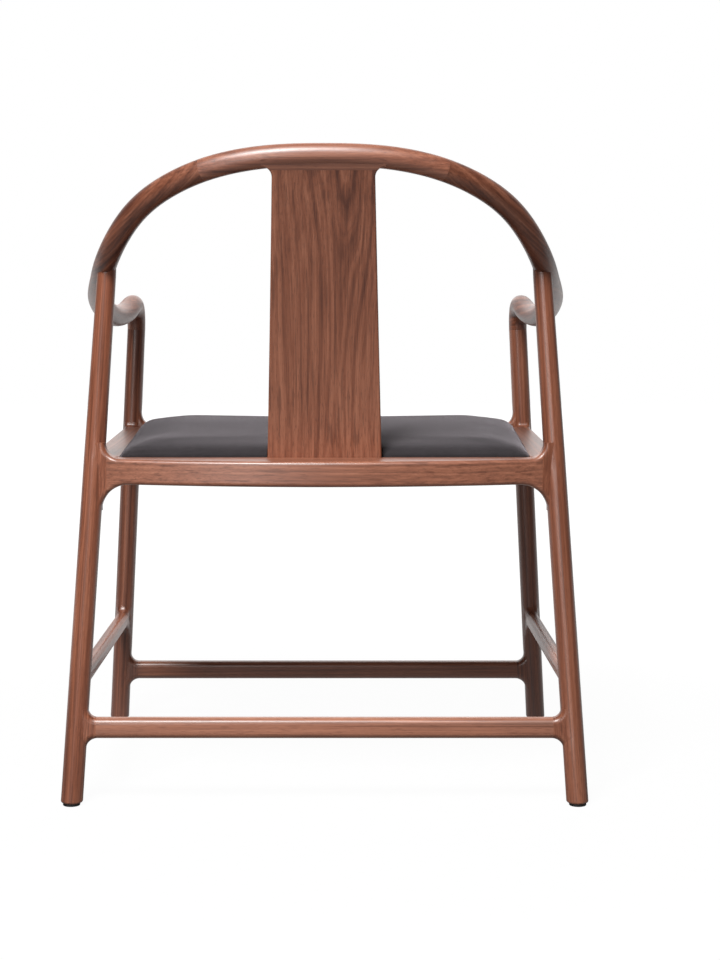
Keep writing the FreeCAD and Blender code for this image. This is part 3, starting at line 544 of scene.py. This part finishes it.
def new_piece(name, mesh, material):
    """An object at the origin with one finish."""
    piece = bpy.data.objects.new(name, mesh)
    bpy.context.scene.collection.objects.link(piece)
    finish_mesh(mesh, material)
    return piece


def finish_mesh(mesh, material):
    """One finish and smooth shading for a whole mesh."""
    mesh.materials.clear()
    mesh.materials.append(material)
    for face in mesh.polygons:
        face.use_smooth = True


def applied(piece):
    """A copy of the piece's mesh with its modifiers applied."""
    graph = bpy.context.evaluated_depsgraph_get()
    return bpy.data.meshes.new_from_object(piece.evaluated_get(graph))


def settle(piece):
    """Makes the piece's modifiers part of its mesh."""
    mesh = applied(piece)
    piece.modifiers.clear()
    piece.data = mesh


def pad_shell(swell):
    """Closed form of the padded seat: a skirt round the panel and a crowned top."""
    mesh = bmesh.new()
    bottom = -panel_thickness - cover_thickness
    levels = [(-cover_thickness, bottom, 0.0)]
    for inset, height in pad_profile:
        share = height / pad_profile[-1][1]
        rise = height + cover_thickness - swell * share
        levels.append((inset - cover_thickness, rise, pad_side_draw * share))
    rings = []
    for inset, height, draw in levels:
        rings.append([mesh.verts.new((p.x, p.y, height)) for p in rounded_outline(inset, draw)])
    for low, high in zip(rings, rings[1:]):
        count = len(low)
        for i in range(count):
            mesh.faces.new((low[i - 1], low[i], high[i], high[i - 1]))
    mesh.faces.new(rings[-1])
    mesh.faces.new(list(reversed(rings[0])))
    bmesh.ops.recalc_face_normals(mesh, faces=mesh.faces)
    shell = bpy.data.meshes.new("seat_pad")
    mesh.to_mesh(shell)
    mesh.free()
    return shell


def puffed(piece, cap):
    """Cloth under a light pressure, held at the skirt, and no further than the cap from its start."""
    mesh = piece.data
    start = [v.co.copy() for v in mesh.vertices]
    hold = piece.vertex_groups.new(name="held")
    for v in mesh.vertices:
        hold.add([v.index], 1.0 if v.co.z < skirt_top else 0.0, "REPLACE")
    cloth = piece.modifiers.new("cloth", "CLOTH")
    cloth.settings.vertex_group_mass = hold.name
    cloth.settings.use_pressure = True
    cloth.settings.uniform_pressure_force = puff_pressure
    cloth.settings.tension_stiffness = puff_stiffness
    cloth.settings.compression_stiffness = puff_stiffness
    cloth.settings.effector_weights.gravity = 0.0
    cloth.point_cache.frame_start = 1
    cloth.point_cache.frame_end = puff_frames
    scene = bpy.context.scene
    for number in range(1, puff_frames + 1):
        scene.frame_set(number)
    moved = applied(piece)
    piece.modifiers.clear()
    for v, first in zip(moved.vertices, start):
        step = v.co - first
        if step.length > cap:
            v.co = first + step * (cap / step.length)
    scene.frame_set(1)
    soften(moved, smoothing_rounds)
    piece.data = moved


def soften(mesh, rounds):
    """Evens out small folds above the held skirt."""
    work = bmesh.new()
    work.from_mesh(mesh)
    free = [v for v in work.verts if v.co.z > skirt_top]
    for turn in range(rounds):
        bmesh.ops.smooth_vert(work, verts=free, factor=0.5, use_axis_x=True, use_axis_y=True,
                              use_axis_z=True)
    work.to_mesh(mesh)
    work.free()


def seat_pad(material):
    """The padded seat's cover, puffed over its foam and notched round the splat."""
    piece = new_piece("seat_pad", pad_shell(pad_swell), material)
    remesh = piece.modifiers.new("even", "REMESH")
    remesh.mode = "VOXEL"
    remesh.voxel_size = pad_voxel
    settle(piece)
    puffed(piece, puff_limit)
    finer = piece.modifiers.new("finer", "SUBSURF")
    finer.levels = 1
    finer.render_levels = 1
    settle(piece)
    for v in piece.data.vertices:
        v.co = on_seat(*v.co)
    cut_notch(piece)
    finish_mesh(piece.data, material)
    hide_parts("seat_cover", "seat_foam")
    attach(piece, "root")


def cut_notch(piece):
    """Room for the splat's foot at the rear edge."""
    half = splat_half_width + splat_gap
    front = splat_front_y - splat_gap
    mesh = bmesh.new()
    bmesh.ops.create_cube(mesh, size=1.0)
    for v in mesh.verts:
        v.co = Vector((v.co.x * 2 * half, front + (0.5 + v.co.y) * notch_depth,
                       seat_lift + v.co.z * notch_height))
    block = bpy.data.meshes.new("notch_block")
    mesh.to_mesh(block)
    mesh.free()
    tool = bpy.data.objects.new("notch_block", block)
    bpy.context.scene.collection.objects.link(tool)
    cut = piece.modifiers.new("notch", "BOOLEAN")
    cut.operation = "DIFFERENCE"
    cut.solver = "EXACT"
    cut.object = tool
    settle(piece)
    bpy.data.objects.remove(tool)
    bpy.data.meshes.remove(block)


def dust_sheet(material):
    """Thin cloth stapled under the panel, hanging slack in its middle."""
    outline = rounded_outline(dust_inset, 0.0, 6, 16)
    centre = Vector((0, (pad_rear_y + pad_front_y) / 2))
    level = -panel_thickness - cover_thickness - dust_gap
    mesh = bmesh.new()
    rings = []
    steps = 14
    for k in range(steps, 0, -1):
        share = k / steps
        drop = dust_sag * (1 - share * share) ** 2
        ring = [centre.lerp(p, share) for p in outline]
        rings.append([mesh.verts.new(on_seat(p.x, p.y, level - drop)) for p in ring])
    hub = mesh.verts.new(on_seat(centre.x, centre.y, level - dust_sag))
    count = len(outline)
    for outer, inner in zip(rings, rings[1:]):
        for i in range(count):
            mesh.faces.new((outer[i - 1], outer[i], inner[i], inner[i - 1]))
    for i in range(count):
        mesh.faces.new((rings[-1][i - 1], rings[-1][i], hub))
    bmesh.ops.recalc_face_normals(mesh, faces=mesh.faces)
    sheet = bpy.data.meshes.new("dust_sheet")
    mesh.to_mesh(sheet)
    mesh.free()
    piece = new_piece("dust_sheet", sheet, material)
    thick = piece.modifiers.new("thick", "SOLIDIFY")
    thick.thickness = dust_thickness
    thick.offset = 0.0
    settle(piece)
    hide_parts("seat_dust_cover")
    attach(piece, "root")


# Studio

def floor_finish():
    """Paper that keeps a soft shadow, white to the camera and, beyond the chair, in reflections."""
    paper = Finish("studio_paper")
    where = paper.place()
    tooth = paper.noise(where, 60.0, 2.0)
    colour = paper.ramp(tooth, [(0.3, (0.17, 0.17, 0.17)), (0.7, (0.20, 0.20, 0.20))])
    matte = paper.add("ShaderNodeBsdfDiffuse", {}, {"Color": colour})
    white = paper.add("ShaderNodeEmission", {}, {"Color": (1, 1, 1, 1), "Strength": 1.10})
    path = paper.add("ShaderNodeLightPath", output="Is Camera Ray")
    spot = paper.add("ShaderNodeSeparateXYZ", {}, {0: where})
    beyond = 1.0 - spot.also("Y").between(-0.6, 0.3)
    seen = path.maths("MAXIMUM", path, path.also("Is Glossy Ray") * beyond)
    seen = seen.maths("MAXIMUM", seen, path.also("Is Transmission Ray"))
    far = (spot * spot + spot.also("Y") * spot.also("Y")).between(0.3, 2.6)
    both = paper.add("ShaderNodeMixShader", {}, {0: seen * (0.88 + far * 0.12), 1: matte, 2: white})
    paper.add("ShaderNodeOutputMaterial", {}, {"Surface": both})
    return paper.material


def surroundings():
    """White to the camera, a bright backdrop and a dim room in reflections, and little light of its own."""
    world = bpy.data.worlds.new("studio")
    world.use_nodes = True
    bpy.context.scene.world = world
    sky = NodeWork(world.node_tree)
    path = sky.add("ShaderNodeLightPath", output="Is Camera Ray")
    plain = path.maths("MAXIMUM", path, path.also("Is Transmission Ray"))
    toward = sky.add("ShaderNodeSeparateXYZ", {}, {0: sky.add("ShaderNodeTexCoord", output="Generated")})
    room = toward.also("Y").between(-0.85, -0.30)
    mirrored = path.also("Is Glossy Ray") * (0.90 - room * 0.80)
    strength = plain + mirrored + path.also("Is Diffuse Ray") * 0.14
    light = sky.add("ShaderNodeBackground", {}, {"Color": (1, 1, 1, 1), "Strength": strength})
    sky.add("ShaderNodeOutputWorld", {}, {"Surface": light})


def studio():
    """Floor, surroundings, soft boxes and the camera."""
    bpy.ops.mesh.primitive_plane_add(size=14.0)
    floor = bpy.context.object
    floor.name = "studio_floor"
    floor.data.materials.append(floor_finish())
    surroundings()
    aim = Vector((0, 0.1, 0.45))
    soft_box("key", (0.67, 2.05, 3.12), aim, (1.0, 1.0), 185.0)
    soft_box("fill", (0.75, 2.60, 0.75), aim, (0.5, 1.2), 16.0)
    soft_box("backdrop", (0.0, -2.3, 1.7), aim, (1.8, 1.8), 11.0)
    front = soft_box("front", (-0.6, -2.6, 1.1), aim, (1.8, 1.8), 42.0)
    front.visible_glossy = False

    data = bpy.data.cameras.new("camera")
    data.lens = camera_lens
    data.sensor_width = 36.0
    camera = bpy.data.objects.new("camera", data)
    camera.location = camera_place
    data.shift_x = camera_shift
    forward = Vector((0, -math.cos(camera_pitch), -math.sin(camera_pitch)))
    camera.rotation_euler = forward.to_track_quat("-Z", "Y").to_euler()
    bpy.context.scene.collection.objects.link(camera)
    bpy.context.scene.camera = camera
    bpy.context.scene.view_settings.view_transform = "Standard"


def soft_box(name, place, aim, size, power):
    """An area lamp of a width and a height, turned to its aim."""
    data = bpy.data.lights.new(name, "AREA")
    data.shape = "RECTANGLE"
    data.size, data.size_y = size
    data.energy = power
    lamp = bpy.data.objects.new(name, data)
    lamp.location = place
    lamp.rotation_euler = (aim - Vector(place)).to_track_quat("-Z", "Y").to_euler()
    lamp.visible_camera = False
    bpy.context.scene.collection.objects.link(lamp)
    return lamp


finish_solids()
seat_pad(woven("seat_cloth", (0.0030, 0.0023, 0.0027), (0.026, 0.0218, 0.0243), 0.0013, 0.30))
dust_sheet(woven("dust_cloth", (0.012, 0.012, 0.013), (0.040, 0.039, 0.041), 0.0016, 0.05))
studio()
